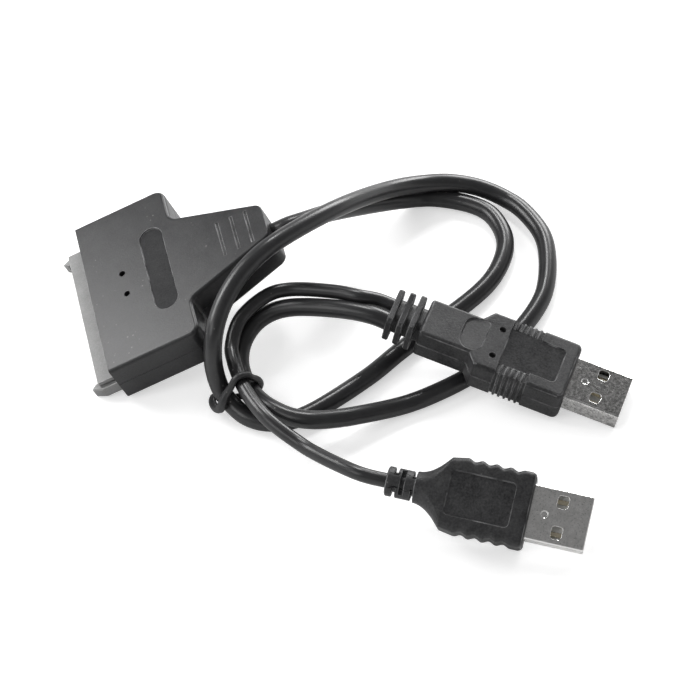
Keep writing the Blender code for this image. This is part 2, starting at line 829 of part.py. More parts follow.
def tube(name, points, diameter, look, group, parent=None, fineness=2, closed=False):
    """A round cord along a line of points."""
    curve = bpy.data.curves.new(name, "CURVE")
    curve.dimensions = "3D"
    curve.bevel_depth = diameter / 2
    curve.bevel_resolution = fineness
    curve.use_fill_caps = not closed
    line = curve.splines.new("POLY")
    line.points.add(len(points) - 1)
    for spot, point in zip(line.points, points):
        spot.co = (*point, 1.0)
    line.use_cyclic_u = closed
    line.use_smooth = True
    made = bpy.data.objects.new(name, curve)
    made.data.materials.append(look)
    group.objects.link(made)
    if parent is not None:
        made.parent = parent
    return made


def cable_cores(group, head):
    """The four insulated wires from the cable's end to the back edge of the board."""
    start = HEAD_LENGTH - CABLE_INSIDE - 2 * CLEARANCE
    end = board_front() + BOARD_LENGTH - 2.0 * MM
    low, high = HEAD_HEIGHT / 2, board_top() + CLEARANCE + CORE_DIAMETER / 2
    colours = ((0.5, 0.03, 0.02), (0.75, 0.75, 0.72), (0.03, 0.25, 0.06), (0.02, 0.02, 0.02))
    for number in range(CORE_COUNT):
        share = number - (CORE_COUNT - 1) / 2
        near, wide = share * (CORE_DIAMETER + 0.05 * MM), share * CORE_SPREAD
        points = [
            Vector((start, near, low)),
            Vector((start - 1.2 * MM, near, low)),
            Vector(((start + end) / 2, (near + wide) / 2, high)),
            Vector((end + 1.5 * MM, wide, high)),
            Vector((end, wide, high)),
        ]
        look = material(f"core_{number + 1}_jacket", colours[number], 0.45)
        tube(f"cable_core_{number + 1}", points, CORE_DIAMETER, look, group, head, 1)


# the flat plugs, with the axis along +X, the grip's front face at 0 and the middle at height 0
def rounded_bar(name, front, back, width, height, radius, group, segments=3):
    """A bar along X with rounded long edges."""
    half, up = width / 2, height / 2
    corners = [(half, up, radius), (half, -up, radius), (-half, -up, radius), (-half, up, radius)]
    return bar_along(name, outline(corners, segments), back, front, group)


def plug_shell(name, group, tools, plug):
    shell = rounded_bar(name, SHELL_OUT, -SHELL_IN, SHELL_WIDTH, SHELL_HEIGHT, SHELL_RADIUS, group)
    inside = rounded_bar(
        "inside",
        SHELL_OUT + MM,
        -SHELL_IN - MM,
        SHELL_WIDTH - 2 * SHELL_SHEET,
        SHELL_HEIGHT - 2 * SHELL_SHEET,
        SHELL_RADIUS - SHELL_SHEET,
        tools,
    )
    cutters = [inside]
    back, front = WINDOW_BACK - WINDOW_LENGTH / 2, WINDOW_BACK + WINDOW_LENGTH / 2
    for side in (1, -1):
        near = side * WINDOW_OFFSET - WINDOW_WIDTH / 2
        far = side * WINDOW_OFFSET + WINDOW_WIDTH / 2
        corners = [(x, y, WINDOW_RADIUS) for x, y in ((back, near), (front, near), (front, far), (back, far))]
        cutters.append(slab("window", outline(corners), -SHELL_HEIGHT, SHELL_HEIGHT, tools))
    cutters.append(
        rod(
            "dimple",
            (DIMPLE_AHEAD, 0.0, SHELL_HEIGHT / 2 - SHELL_SHEET / 2),
            (0, 0, 1),
            DIMPLE_DIAMETER,
            MM,
            tools,
            20,
        )
    )
    return finish(cut(shell, cutters), nickel(), plug)


def tongue_bottom():
    return -SHELL_HEIGHT / 2 + SHELL_SHEET + CLEARANCE


def tongue_top():
    return tongue_bottom() + TONGUE_THICKNESS


def plug_tongue(name, group, plug):
    """The insulating bar in the lower half of the shell, which carries the contacts."""
    half = SHELL_WIDTH / 2 - SHELL_SHEET - CLEARANCE
    bar = block(
        name,
        (-SHELL_IN, -half, tongue_bottom()),
        (SHELL_OUT - TONGUE_SETBACK, half, tongue_top()),
        group,
    )
    return finish(round_edges(bar, TONGUE_THICKNESS * 0.12, 1), tongue_plastic(), plug)


def plug_contacts(title, group, plug):
    low = tongue_top() + CLEARANCE
    front = SHELL_OUT - TONGUE_SETBACK - 1.2 * MM
    for number, (spread, length) in enumerate(zip(BLADE_SPREADS, BLADE_LENGTHS)):
        blade = block(
            f"{title}_contact_{number + 1}",
            (front - length, spread - BLADE_WIDTH / 2, low),
            (front, spread + BLADE_WIDTH / 2, low + BLADE_THICKNESS),
            group,
        )
        finish(round_edges(blade, BLADE_THICKNESS * 0.3, 1), gold(), plug)


def shell_pocket(tools):
    """Room in a grip for the shell's back end."""
    gap = CLEARANCE
    return rounded_bar(
        "pocket",
        MM,
        -SHELL_IN - gap,
        SHELL_WIDTH + 2 * gap,
        SHELL_HEIGHT + 2 * gap,
        SHELL_RADIUS + gap,
        tools,
    )


def face_cutters(points, tools):
    """One flat shape sunk into the grip's upper and lower faces."""
    face = GRIP_THICKNESS / 2
    spans = ((face - PANEL_DEPTH, face + MM), (-face - MM, -face + PANEL_DEPTH))
    return [slab("panel", points, low, high, tools) for low, high in spans]


def power_panel():
    start, end = POWER_PANEL
    half = PANEL_WIDTH / 2
    corners = [(-start, half), (-start, -half), (-end, -half), (-end, half)]
    return outline([(x, y, PANEL_RADIUS) for x, y in corners])


def data_panel():
    """The panel runs back between the ribs, as deep as their grooves."""
    start, ribs = -DATA_PANEL_START, -DATA_RIBS_START
    end = ribs - (DATA_RIB_COUNT - 1) * DATA_RIB_PITCH - DATA_RIB_GROOVE - 0.1 * MM
    half, wide = PANEL_WIDTH / 2, GRIP_WIDTH / 2 - DATA_RIB_INWARD + 0.05 * MM
    return outline(
        both_sides([(start, half, PANEL_RADIUS), (ribs, half, 0.0), (ribs, wide, 0.0), (end, wide, 0.0)])
    )


def data_grip_ribs(tools):
    """Grooves that leave the side ribs standing, which reach a little way over both faces."""
    made = []
    side, face = GRIP_WIDTH / 2, GRIP_THICKNESS / 2
    for number in range(DATA_RIB_COUNT):
        back = DATA_RIBS_START + number * DATA_RIB_PITCH
        front = -back
        rear = front - DATA_RIB_GROOVE
        for sign in (1, -1):
            shallow, deep = sign * (side - DATA_RIB_DEPTH), sign * (side - DATA_RIB_INWARD)
            outer = sign * (side + MM)
            made.append(
                block(
                    "groove",
                    (rear, min(shallow, outer), -face - MM),
                    (front, max(shallow, outer), face + MM),
                    tools,
                )
            )
            for up in (1, -1):
                floor, over = up * (face - PANEL_DEPTH * 1.2), up * (face + MM)
                made.append(
                    block(
                        "groove",
                        (rear, min(deep, outer), min(floor, over)),
                        (front, max(deep, outer), max(floor, over)),
                        tools,
                    )
                )
    return made


def data_relief_start():
    return DATA_BODY_LENGTH + DATA_RING_GAP


def data_relief_end():
    return data_relief_start() + DATA_RING_LENGTH + (DATA_RING_COUNT - 1) * DATA_RING_PITCH


def data_relief(tools):
    """The flat core behind the grip and the strain-relief rings round it."""
    wide, high = DATA_RELIEF_CORE
    core = (wide, high, high * 0.4)
    made = [
        loft("core", [(-DATA_BODY_LENGTH + MM, *core), (-data_relief_end() + DATA_RING_ROUND, *core)], tools)
    ]
    for number in range(DATA_RING_COUNT):
        front = -data_relief_start() - number * DATA_RING_PITCH
        back = front - DATA_RING_LENGTH
        width = DATA_WAIST_WIDTH - number * DATA_RING_SHRINK
        height = GRIP_THICKNESS - (number + 1) * DATA_RING_SHRINK
        slim = 2 * DATA_RING_ROUND
        made.append(
            loft(
                "ring",
                [
                    (front, width - slim, height - slim, GRIP_ROUND * 0.8),
                    (front - DATA_RING_ROUND * 0.3, width - slim * 0.3, height - slim * 0.3, GRIP_ROUND),
                    (front - DATA_RING_ROUND, width, height, GRIP_ROUND),
                    (back + DATA_RING_ROUND, width, height, GRIP_ROUND),
                    (back + DATA_RING_ROUND * 0.3, width - slim * 0.3, height - slim * 0.3, GRIP_ROUND),
                    (back, width - slim, height - slim, GRIP_ROUND * 0.8),
                ],
                tools,
            )
        )
    return made


def data_grip_outline(inset):
    """The grip seen from above, broad in front and narrow behind, drawn in by an inset."""
    half, waist = GRIP_WIDTH / 2 - inset, DATA_WAIST_WIDTH / 2 - inset
    slope = math.atan2((GRIP_WIDTH - DATA_WAIST_WIDTH) / 2, DATA_WAIST - DATA_SHOULDER)
    back = inset * math.tan(slope / 2)
    return outline(
        both_sides(
            [
                (-inset, half, max(DATA_CORNER - inset, 0.3 * MM)),
                (-DATA_SHOULDER + back, half, max(DATA_CORNER * 0.6 - inset, 0.2 * MM)),
                (-DATA_WAIST + back, waist, 0.4 * MM + inset * 0.3),
                (-DATA_BODY_LENGTH + inset, waist, max(DATA_CORNER * 0.6 - inset, 0.2 * MM)),
            ]
        ),
        4,
    )


def thumb_cutter(tools):
    """A shallow rest for the thumb, with one straight side, that deepens to the rear."""
    front, back = -THUMB_BACKS[0], -THUMB_BACKS[1]
    low, high = THUMB_SIDES
    corners = [(front, high, 0.6 * MM), (front, low, 2.4 * MM), (back, low, 2.6 * MM), (back, high, 2.2 * MM)]
    face = GRIP_THICKNESS / 2 - 0.05 * MM
    thumb = slab("thumb", outline(corners, 8), 0.0, 3 * MM, tools)
    tilt = math.atan2(THUMB_DEPTH, front - back)
    shift = Matrix.Translation((front, 0.0, 0.0))
    turn = shift @ Matrix.Rotation(-tilt, 4, "Y") @ shift.inverted()
    thumb.data.transform(Matrix.Translation((0.0, 0.0, face)) @ turn)
    return thumb


def data_grip(group, tools, plug):
    """The two-cable grip: a broad head, a narrow waist and three strain-relief rings."""
    face = GRIP_THICKNESS / 2
    levels = rim_levels(-face, face, GRIP_ROUND, 3)
    middle = len(levels) // 2
    lower = [(height, inset - GRIP_LEDGE) for height, inset in levels[:middle]]
    levels = lower + [(0.0, -GRIP_LEDGE), (0.0, 0.0)] + levels[middle:]
    rings = [[(x, y, height) for x, y in data_grip_outline(inset)] for height, inset in levels]
    grip = join(skin("data_plug_grip", rings, group), data_relief(tools))
    holes = [
        rod(
            "hole",
            (-DATA_HOLE_BACK, side * DATA_HOLE_SPREAD / 2, face - DATA_HOLE_DEPTH),
            (0, 0, 1),
            DATA_HOLE_DIAMETER,
            2 * DATA_HOLE_DEPTH,
            tools,
            20,
        )
        for side in (1, -1)
    ]
    cutters = [shell_pocket(tools)] + face_cutters(data_panel(), tools) + data_grip_ribs(tools)
    grip = cut(grip, cutters + [thumb_cutter(tools)] + holes)
    return finish(grip, grip_plastic(), plug)


def power_grip_sections():
    """Sections from the front face to the neck: x, width, height and corner radius."""
    made = [
        (0.0, GRIP_WIDTH - 1.6 * MM, GRIP_THICKNESS - 1.6 * MM, 0.6 * POWER_GRIP_ROUND),
        (-0.25 * MM, GRIP_WIDTH - 0.6 * MM, GRIP_THICKNESS - 0.6 * MM, 0.8 * POWER_GRIP_ROUND),
        (-0.9 * MM, GRIP_WIDTH, GRIP_THICKNESS, POWER_GRIP_ROUND),
    ]
    for step in range(WAVE_COUNT * WAVE_STEPS + 1):
        along = step / WAVE_STEPS
        dip = WAVE_DEPTH * (1 - math.cos(2 * math.pi * along))
        made.append((-WAVE_START - along * WAVE_PITCH, GRIP_WIDTH - dip, GRIP_THICKNESS, POWER_GRIP_ROUND))
    taper = POWER_LENGTH - POWER_TAPER_START
    for step in range(1, TAPER_STEPS + 1):
        share = step / TAPER_STEPS
        eased = 1.08 * share * share / (share + 0.08)
        blend = 1 - (1 - eased) ** 2
        made.append(
            (
                -POWER_TAPER_START - taper * share,
                GRIP_WIDTH + (POWER_NECK_WIDTH - GRIP_WIDTH) * blend,
                GRIP_THICKNESS + (POWER_NECK_WIDTH - GRIP_THICKNESS) * share,
                POWER_GRIP_ROUND + (POWER_NECK_WIDTH * 0.48 - POWER_GRIP_ROUND) * blend,
            )
        )
    return made


def power_relief_end():
    return POWER_LENGTH + POWER_RELIEF[1]


def power_relief(tools):
    """The round strain relief: rings that are bridged in turn above and below or at the sides."""
    diameter, length = POWER_RELIEF
    overlap = 0.4 * MM
    relief = rod(
        "relief", (-POWER_LENGTH + overlap, 0.0, 0.0), (-1, 0, 0), diameter, length + overlap, tools, 28
    )
    relief = round_edges(relief, diameter * 0.06, 2)
    bridge, far = POWER_RELIEF_BRIDGE / 2, diameter
    cutters = []
    for number, (near, deep) in enumerate(POWER_RELIEF_CUTS):
        front, back = -POWER_LENGTH - near, -POWER_LENGTH - deep
        for side in (1, -1):
            inner, outer = sorted((side * bridge, side * far))
            if number % 2 == 0:
                low, high = (back, inner, -far), (front, outer, far)
            else:
                low, high = (back, -diameter * 0.42, inner), (front, diameter * 0.42, outer)
            cutters.append(block("gap", low, high, tools))
    core = rod(
        "core", (-POWER_LENGTH + MM, 0.0, 0.0), (-1, 0, 0), POWER_RELIEF_CORE, length + MM / 2, tools, 24
    )
    return join(cut(relief, cutters), [core])


def power_grip(group, tools, plug):
    """The bottle-shaped grip with wavy sides and a round segmented relief."""
    grip = loft("power_plug_grip", power_grip_sections(), group)
    grip = join(grip, [power_relief(tools)])
    grip = cut(grip, [shell_pocket(tools)] + face_cutters(power_panel(), tools))
    return finish(grip, grip_plastic(), plug)


def lay_plug(name, place, turn, members, group):
    """An empty that carries a plug, turned as it lies, with its lowest point on the table."""
    heading, nose_down, roll = turn
    plug = bpy.data.objects.new(name, None)
    plug.rotation_euler = Euler((roll, nose_down, heading), "XYZ")
    group.objects.link(plug)
    for member in members:
        member.parent = plug
    bpy.context.view_layer.update()
    lowest = min((plug.matrix_world @ v.co).z for member in members for v in member.data.vertices)
    plug.location = (place[0], place[1], -lowest)
    bpy.context.view_layer.update()
    return plug


def build_plug(title, grip_maker, place, turn, group, tools):
    members = [
        grip_maker(group, tools, None),
        plug_shell(f"{title}_shell", group, tools, None),
        plug_tongue(f"{title}_insulator", group, None),
    ]
    plug = lay_plug(title, place, turn, members, group)
    plug_contacts(title, group, plug)
    return plug


# the lead
def blend_point(before, start, end, after, share):
    """A point between start and end on a smooth curve through all four."""
    gap = [math.sqrt((b - a).length) for a, b in ((before, start), (start, end), (end, after))]
    t0, t1 = 0.0, gap[0]
    t2 = t1 + gap[1]
    t3 = t2 + gap[2]
    t = t1 + share * gap[1]
    low = before.lerp(start, (t - t0) / (t1 - t0))
    middle = start.lerp(end, (t - t1) / (t2 - t1))
    high = end.lerp(after, (t - t2) / (t3 - t2))
    left = low.lerp(middle, (t - t0) / (t2 - t0))
    right = middle.lerp(high, (t - t1) / (t3 - t1))
    return left.lerp(right, (t - t1) / (t2 - t1))


def smooth_route(points, spacing, lowest, closed=False):
    """Evenly spaced points on a smooth curve through a route, kept above the table."""
    if closed:
        padded = [points[-1]] + points + points[:2]
    else:
        padded = [2 * points[0] - points[1]] + points + [2 * points[-1] - points[-2]]
    fine = []
    for place in range(1, len(padded) - 2):
        for step in range(16):
            fine.append(blend_point(*padded[place - 1 : place + 3], step / 16))
    fine.append(padded[-2])
    lengths = [0.0]
    for a, b in zip(fine, fine[1:]):
        lengths.append(lengths[-1] + (b - a).length)
    count = max(2, round(lengths[-1] / spacing))
    made, spot = [], 0
    for number in range(count if closed else count + 1):
        wanted = lengths[-1] * number / count
        while spot < len(lengths) - 2 and lengths[spot + 1] < wanted:
            spot += 1
        share = (wanted - lengths[spot]) / (lengths[spot + 1] - lengths[spot])
        point = fine[spot].lerp(fine[spot + 1], share)
        made.append(Vector((point.x, point.y, max(point.z, lowest))))
    return made


def data_relief_point(plug, side, out=0.0):
    """A cable's centre where it leaves the data plug, or further out along the axis."""
    x = -data_relief_end() - CLEARANCE - out
    return plug.matrix_world @ Vector((x, side * CABLE_SPREAD / 2, 0.0))


def data_cable(group, head, plug):
    middle = HEAD_HEIGHT / 2
    held = head.matrix_world @ Vector((HEAD_LENGTH - CABLE_INSIDE, 0.0, middle))
    mouth = head.matrix_world @ Vector((HEAD_LENGTH, 0.0, middle))
    outside = head.matrix_world @ Vector((HEAD_LENGTH + STRAIGHT_EXIT, 0.0, middle))
    route = [held, mouth, outside] + [Vector(point) * MM for point in DATA_ROUTE]
    route += [data_relief_point(plug, -1, STRAIGHT_EXIT), data_relief_point(plug, -1)]
    radius = DATA_CABLE_DIAMETER / 2
    points = smooth_route(route, DATA_CABLE_DIAMETER * 1.65, radius + 0.02 * MM)
    return tube("data_cable", points, DATA_CABLE_DIAMETER, cable_jacket(), group)


def power_cable(group, data_plug, power_plug):
    tail = -power_relief_end() - CLEARANCE
    end = power_plug.matrix_world @ Vector((tail, 0.0, 0.0))
    outside = power_plug.matrix_world @ Vector((tail - STRAIGHT_EXIT, 0.0, 0.0))
    route = [data_relief_point(data_plug, 1), data_relief_point(data_plug, 1, STRAIGHT_EXIT)]
    route += [Vector(point) * MM for point in POWER_ROUTE] + [outside, end]
    points = smooth_route(route, POWER_CABLE_DIAMETER * 1.8, POWER_CABLE_DIAMETER / 2 + 0.02 * MM)
    return tube("power_cable", points, POWER_CABLE_DIAMETER, cable_jacket(), group)


def cable_tie(group):
    route = [Vector(point) * MM for point in TIE_LOOP]
    points = smooth_route(route, TIE_DIAMETER * 1.2, TIE_DIAMETER / 2 + 0.02 * MM, closed=True)
    return tube("cable_tie", points, TIE_DIAMETER, tie_jacket(), group, closed=True)


def build_head(group, tools):
    head = bpy.data.objects.new("head", None)
    group.objects.link(head)
    housing_top(group, tools, head)
    housing_bottom(group, tools, head)
    connector_insulator(group, tools, head)
    drive_contacts(group, head)
    circuit_board(group, head)
    bridge_chip(group, head)
    crystal_can(group, head)
    lamps(group, head)
    cable_cores(group, head)
    head.rotation_euler.y = -HEAD_PITCH
    bpy.context.view_layer.update()
    solids = [child for child in head.children if child.type == "MESH"]
    corners = [child.matrix_world @ v.co for child in solids for v in child.data.vertices]
    across = [corner.x for corner in corners]
    head.location.x = -(min(across) + max(across)) / 2
    head.location.z = -min(corner.z for corner in corners)
    bpy.context.view_layer.update()
    return head


def main():
    clear_scene()
    bpy.context.scene.unit_settings.scale_length = 1.0
    parts, tools = collection("drive_adapter_lead"), collection("tools")
    head = build_head(parts, tools)
    data_plug = build_plug("data_plug", data_grip, DATA_PLUG_PLACE, DATA_PLUG_TURN, parts, tools)
    power_plug = build_plug("power_plug", power_grip, POWER_PLUG_PLACE, POWER_PLUG_TURN, parts, tools)
    data_cable(parts, head, data_plug)
    power_cable(parts, data_plug, power_plug)
    cable_tie(parts)


main()
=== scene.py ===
import math

import bmesh
import bpy
from mathutils import Euler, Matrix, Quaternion, Vector


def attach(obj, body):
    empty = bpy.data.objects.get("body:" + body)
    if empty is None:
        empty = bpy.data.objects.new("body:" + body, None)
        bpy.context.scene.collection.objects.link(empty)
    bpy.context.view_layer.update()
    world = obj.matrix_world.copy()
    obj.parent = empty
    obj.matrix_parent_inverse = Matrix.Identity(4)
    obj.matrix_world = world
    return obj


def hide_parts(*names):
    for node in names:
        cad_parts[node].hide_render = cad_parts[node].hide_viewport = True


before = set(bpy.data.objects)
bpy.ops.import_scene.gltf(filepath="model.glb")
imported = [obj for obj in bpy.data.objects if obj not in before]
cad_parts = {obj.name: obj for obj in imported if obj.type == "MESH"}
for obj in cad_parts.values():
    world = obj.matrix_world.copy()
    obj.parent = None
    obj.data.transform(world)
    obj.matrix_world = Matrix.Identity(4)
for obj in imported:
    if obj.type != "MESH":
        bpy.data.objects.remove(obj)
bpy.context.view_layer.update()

bpy.context.scene.view_settings.view_transform = "Standard"

# Camera
# A long lens looks down on the table from the front left, a little rolled,
# as the product was photographed.
ROLL = math.radians(-3.2)
eye, aim = Vector((-0.04735, -0.45468, 0.5185)), Vector((0.03395, -0.02022, 0.0))
camera_data = bpy.data.cameras.new("product_lens")
camera_data.lens, camera_data.sensor_width = 157.4, 36.0
camera_data.clip_start, camera_data.clip_end = 0.01, 20.0
camera = bpy.data.objects.new("product_camera", camera_data)
camera.location = eye
camera.rotation_mode = "QUATERNION"
level_view = (aim - eye).to_track_quat("-Z", "Y")
camera.rotation_quaternion = level_view @ Quaternion((0, 0, 1), ROLL)
bpy.context.scene.collection.objects.link(camera)
bpy.context.scene.camera = camera

# Table
# A plain white sheet under the lead. It takes the soft shadows, and its own white is what the
# camera and the bright metal see round the object.
SHEET_REACH = 3.0


def set_inputs(tree, node, values):
    """Give a node's inputs their values, each a constant or another node's output."""
    for name, value in values.items():
        if isinstance(value, bpy.types.NodeSocket):
            tree.links.new(value, node.inputs[name])
        else:
            node.inputs[name].default_value = value


def add_node(tree, kind, values=None, **settings):
    """Add a node with its settings and its inputs' values, and give back its outputs."""
    node = tree.nodes.new(kind)
    for name, setting in settings.items():
        setattr(node, name, setting)
    set_inputs(tree, node, values or {})
    return node.outputs


def new_look(name):
    """A new material, with its node tree and its shader."""
    look = bpy.data.materials.new(name)
    look.use_nodes = True
    return look, look.node_tree, look.node_tree.nodes["Principled BSDF"]


sheet_form = bmesh.new()
bmesh.ops.create_grid(sheet_form, x_segments=1, y_segments=1, size=SHEET_REACH)
sheet_mesh = bpy.data.meshes.new("table_sheet")
sheet_form.to_mesh(sheet_mesh)
sheet_form.free()
sheet = bpy.data.objects.new("table_sheet", sheet_mesh)
bpy.context.scene.collection.objects.link(sheet)
sheet_white, tree, paper = new_look("table_white")
ray = add_node(tree, "ShaderNodeLightPath")
mirrored = add_node(
    tree, "ShaderNodeMath", {0: ray["Is Glossy Ray"], 1: 0.06}, operation="MULTIPLY"
)
lift = add_node(
    tree, "ShaderNodeMath", {0: ray["Is Camera Ray"], 1: 0.5, 2: mirrored[0]},
    operation="MULTIPLY_ADD",
)
set_inputs(tree, paper, {
    "Base Color": (0.78, 0.78, 0.78, 1),
    "Roughness": 0.9,
    "Emission Color": (1, 1, 1, 1),
    "Emission Strength": lift[0],
})
sheet_mesh.materials.append(sheet_white)

# Studio light
# A tent all round, pale near the table and dim above. Two soft boxes behind draw the lines along
# the cables, a third fills from the left, and a small near light at the rear left shades the
# head's upper face.
LEAD_MIDDLE = (0.03, -0.02, 0.01)
HEAD_FRONT_LEFT = (-0.045, -0.06, 0.005)
world = bpy.data.worlds.new("white_tent")
world.use_nodes = True
tree = world.node_tree
ray = add_node(tree, "ShaderNodeLightPath")
sky = add_node(tree, "ShaderNodeTexCoord")
height = add_node(tree, "ShaderNodeSeparateXYZ", {"Vector": sky["Generated"]})
wall = add_node(tree, "ShaderNodeMapRange", {
    "Value": height["Z"], "From Max": 0.5, "To Min": 1.0, "To Max": 0.2,
})
gloss = add_node(tree, "ShaderNodeMapRange", {
    "Value": ray["Is Glossy Ray"], "To Min": 0.45, "To Max": wall["Result"],
})
level = add_node(tree, "ShaderNodeMapRange", {
    "Value": ray["Is Camera Ray"], "To Min": gloss["Result"], "To Max": 1.0,
})
set_inputs(tree, tree.nodes["Background"], {"Color": (1, 1, 1, 1), "Strength": level["Result"]})
bpy.context.scene.world = world


def soft_box(name, over, toward, away, side, power):
    """A square light that faces a point on the table, from a direction and a distance."""
    data = bpy.data.lights.new(name, "AREA")
    data.shape, data.size, data.energy = "SQUARE", side, power
    lamp = bpy.data.objects.new(name, data)
    lamp.visible_camera = False
    direction = Vector(toward).normalized()
    lamp.location = Vector(over) + direction * away
    lamp.rotation_mode = "QUATERNION"
    lamp.rotation_quaternion = direction.to_track_quat("Z", "Y")
    bpy.context.scene.collection.objects.link(lamp)


soft_box("rear_soft_box", LEAD_MIDDLE, (0.12, 0.64, 0.76), away=1.2, side=0.22, power=4.6)
soft_box("rear_right_soft_box", LEAD_MIDDLE, (0.56, 0.76, 0.36), away=1.2, side=0.5, power=9.0)
soft_box("left_fill_box", LEAD_MIDDLE, (-0.72, -0.25, 0.65), away=1.2, side=0.6, power=3.0)
soft_box("head_light", HEAD_FRONT_LEFT, (-0.407, 0.638, 0.653), away=0.22, side=0.11, power=0.36)

# Drive connector's insulator
# One grey moulding with two slots for the drive's edge, a key at the end of each slot and a
# tapered guide post at either end. It is pushed into the head's mouth.
CONNECTOR_ROUND = 0.00009
MERGE_DISTANCE = 0.000002
FLATNESS = math.radians(0.8)
SHARP = math.radians(30)
RIM_SHARP = math.radians(50)
SAME_LEVEL = 0.00002
SAME_FACE = 0.00001
HALF_PARTING_GAP = 0.00014
PARTING_BAND = 0.0003


def turned(turn, way):
    """A direction of a piece after its turn, which is three angles in degrees."""
    return Euler([math.radians(angle) for angle in turn], "XYZ").to_matrix() @ Vector(way)


def round_edges(shape, edges, width, segments):
    """Round some edges of a form, and give back the new faces."""
    return bmesh.ops.bevel(
        shape, geom=edges, offset=width, offset_type="OFFSET", affect="EDGES",
        segments=segments, profile=0.5, material=-1, clamp_overlap=False,
    )["faces"]


def outer_rim(shape, ahead):
    """The edges round the outline of a form's front face."""
    front = max(vert.co.dot(ahead) for vert in shape.verts)
    rim = [vert for vert in shape.verts if front - vert.co.dot(ahead) < SAME_LEVEL]
    middle = sum((vert.co for vert in rim), Vector()) / len(rim)

    def turns_outward(edge):
        outward = edge.verts[0].co - middle
        sides = [face for face in edge.link_faces if face.normal.dot(ahead) < 0.7]
        return sum(face.normal.dot(outward) for face in sides) > 0

    return [
        edge
        for edge in shape.edges
        if edge.is_manifold
        and all(vert in rim for vert in edge.verts)
        and edge.calc_face_angle() > RIM_SHARP
        and turns_outward(edge)
    ]


def mark(faces, layer):
    """Mark all the corners of some faces in a layer."""
    for face in faces:
        for corner in face.loops:
            corner[layer] = 1.0


def moulded_copy(name, node, rounding, turn=(0, 0, 0), sunk=None, parting=0, nose=None):
    """A CAD node's copy, merged, with flat faces joined and its edges rounded.

    turn is how the piece lies, as three angles in degrees.
    sunk is the depth of the matt floors pressed into its upper and lower faces.
    parting is 1 or -1 where its upper or lower end meets the other half. That end is moved up to
    the other half's, and its edges are left out of the worn and painted-highlight mark, so they
    stay dark.
    nose is the radius of a broad rounding round its front face.
    """
    shape = bmesh.new()
    shape.from_mesh(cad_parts[node].data)
    bmesh.ops.remove_doubles(shape, verts=shape.verts, dist=MERGE_DISTANCE)
    up = turned(turn, (0, 0, 1))
    meeting_way = up * parting
    meeting_level = max(vert.co.dot(meeting_way) for vert in shape.verts)
    if parting:
        meeting = [
            vert for vert in shape.verts
            if meeting_level - vert.co.dot(meeting_way) < SAME_FACE
        ]
        bmesh.ops.translate(shape, verts=meeting, vec=meeting_way * HALF_PARTING_GAP)
    bmesh.ops.dissolve_limit(
        shape, angle_limit=FLATNESS, verts=shape.verts, edges=shape.edges
    )
    if nose is not None:
        round_edges(shape, outer_rim(shape, turned(turn, (1, 0, 0))), nose, segments=5)
    worn_and_highlit_layer = shape.loops.layers.float.new("worn_and_highlit_edge")
    floor = shape.loops.layers.float.new("sunk_floor")
    if sunk is not None:
        for way in (up, -up):
            top = max(vert.co.dot(way) for vert in shape.verts)
            mark([
                face for face in shape.faces
                if face.normal.dot(way) > 0.999
                and abs(top - face.calc_center_median().dot(way) - sunk) < SAME_LEVEL
            ], floor)
    sharp = [
        edge for edge in shape.edges if edge.is_manifold and edge.calc_face_angle() > SHARP
    ]
    # The new rounded faces are marked for rubbed wear and a painted highlight, which pale their
    # colour; the parting band is left unmarked.
    mark([
        face for face in round_edges(shape, sharp, rounding, segments=2)
        if not parting
        or meeting_level - face.calc_center_median().dot(meeting_way) > PARTING_BAND
    ], worn_and_highlit_layer)
    for face in shape.faces:
        face.smooth = True
    mesh = bpy.data.meshes.new(name)
    shape.to_mesh(mesh)
    shape.free()
    piece = bpy.data.objects.new(name, mesh)
    bpy.context.scene.collection.objects.link(piece)
    flats = piece.modifiers.new("true_flats", "WEIGHTED_NORMAL")
    flats.keep_sharp = True
    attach(piece, "root")
    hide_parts(node)
    return piece


def add_socket(group, name, way, value=None):
    """A number that goes into a shader group, or comes out of it."""
    socket = group.interface.new_socket(name=name, in_out=way, socket_type="NodeSocketFloat")
    if value is not None:
        socket.default_value = value


# Shader group for everything moulded: a fine spark-eroded grain, slow mottling of the colour,
# and a few dust specks that have settled on the upper faces.
moulded_surface = bpy.data.node_groups.new("moulded_surface", "ShaderNodeTree")
add_socket(moulded_surface, "Grain Scale", "INPUT", 2600.0)
add_socket(moulded_surface, "Dust Amount", "INPUT", 0.5)
add_socket(moulded_surface, "Grain", "OUTPUT")
add_socket(moulded_surface, "Mottle", "OUTPUT")
add_socket(moulded_surface, "Dust", "OUTPUT")
tree = moulded_surface
taken, given = add_node(tree, "NodeGroupInput"), tree.nodes.new("NodeGroupOutput")
spot = add_node(tree, "ShaderNodeTexCoord")["Object"]
fine = add_node(tree, "ShaderNodeTexNoise", {
    "Vector": spot, "Scale": taken["Grain Scale"], "Detail": 3.0, "Roughness": 0.65,
})
slow = add_node(tree, "ShaderNodeTexNoise", {
    "Vector": spot, "Scale": 210.0, "Detail": 6.0, "Roughness": 0.7,
})
flecks = add_node(tree, "ShaderNodeTexVoronoi", {"Vector": spot, "Scale": 620.0})
small = add_node(tree, "ShaderNodeMapRange", {
    "Value": flecks["Distance"], "From Min": 0.16, "From Max": 0.06,
})
patches = add_node(tree, "ShaderNodeTexNoise", {"Vector": spot, "Scale": 95.0, "Detail": 2.0})
gathered = add_node(tree, "ShaderNodeMapRange", {
    "Value": patches["Fac"], "From Min": 0.52, "From Max": 0.66,
})
facing = add_node(tree, "ShaderNodeNewGeometry")
split = add_node(tree, "ShaderNodeSeparateXYZ", {"Vector": facing["Normal"]})
upward = add_node(tree, "ShaderNodeMapRange", {
    "Value": split["Z"], "From Min": 0.3, "From Max": 0.9,
})
dust = small["Result"]
for factor in (gathered["Result"], upward["Result"], taken["Dust Amount"]):
    dust = add_node(tree, "ShaderNodeMath", {0: dust, 1: factor}, operation="MULTIPLY")[0]
set_inputs(tree, given, {"Grain": fine["Fac"], "Mottle": slow["Fac"], "Dust": dust})
